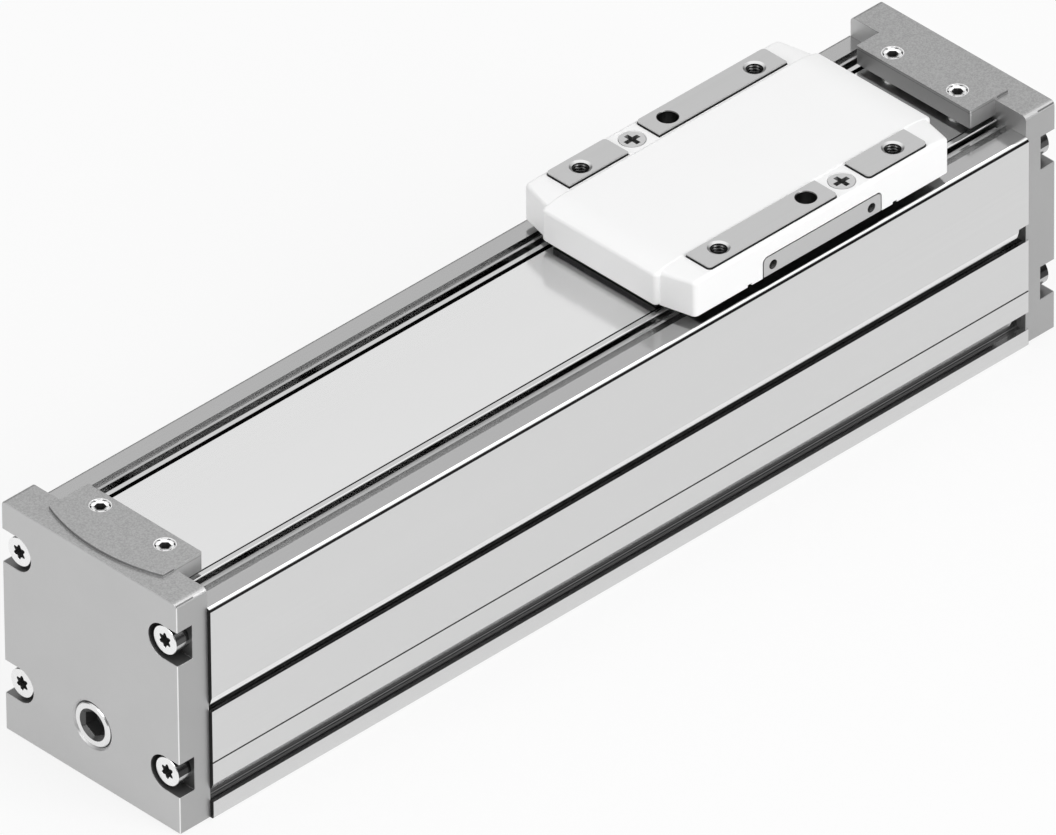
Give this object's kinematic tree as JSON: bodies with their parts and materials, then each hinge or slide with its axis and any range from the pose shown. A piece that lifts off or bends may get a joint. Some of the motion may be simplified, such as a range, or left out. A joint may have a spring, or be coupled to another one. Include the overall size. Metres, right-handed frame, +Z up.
{
  "type": "passive guide axis",
  "caption": "Linear guide axis: a slotted aluminium housing with end caps and a flat cover band, and a slide on a ball runner with a threaded table.",
  "frame": {"origin": "centre of the underside: halfway along the axis, on the middle plane, on the surface it stands on", "axes": "+X along the travel, away from the near end cap; +Z up out of the slotted top; +Y to the left, seen along +X"},
  "size_m": [0.283, 0.06, 0.0719],
  "materials": {
    "housing_aluminium": "clear anodised, satin",
    "strip_aluminium": "clear anodised, satin",
    "band_steel": "bright rolled",
    "cast_aluminium": "blasted die-casting",
    "plated_steel": "bright zinc plated",
    "set_screw_steel": "dark zinc plated",
    "plug_steel": "bright nickel plated",
    "seal_rubber": "black rubber",
    "ground_steel": "ground",
    "dark_plastic": "moulded",
    "buffer_rubber": "matt",
    "slide_steel": "milled and zinc plated",
    "white_plastic": "smooth moulded, semi-matt",
    "wiper_rubber": "matt",
    "ball_steel": "polished"
  },
  "bodies": {
    "housing": {"profile": "housing_aluminium", "band_carrier": "strip_aluminium", "cover_band": "band_steel", "end_cap_near": "cast_aluminium", "end_cap_far": "cast_aluminium", "cap_screws_near": "plated_steel", "cap_screws_far": "plated_steel", "band_clamp_screws_near": "set_screw_steel", "band_clamp_screws_far": "set_screw_steel", "port_plug_near": "plug_steel", "port_plug_far": "plug_steel", "port_seal_near": "seal_rubber", "port_seal_far": "seal_rubber", "guide_rail": "ground_steel", "rail_screws": "set_screw_steel", "rail_hole_caps": "dark_plastic", "buffer_near_left": "buffer_rubber", "buffer_near_right": "buffer_rubber", "buffer_far_left": "buffer_rubber", "buffer_far_right": "buffer_rubber"},
    "slide": {"slide_body": "slide_steel", "slide_cover": "white_plastic", "cover_screws": "plated_steel", "band_wiper_front": "wiper_rubber", "band_wiper_rear": "wiper_rubber", "runner_block": "ground_steel", "runner_end_cap_front": "dark_plastic", "runner_end_cap_rear": "dark_plastic", "runner_seal_front": "seal_rubber", "runner_seal_rear": "seal_rubber", "runner_balls": "ball_steel", "runner_screws": "set_screw_steel", "runner_cap_screws": "plated_steel"}
  },
  "joints": [
    {"name": "slide_travel", "type": "slide", "parent": "housing", "child": "slide", "axis": [1, 0, 0], "range_m": [-0.142, 0.01]}
  ]
}
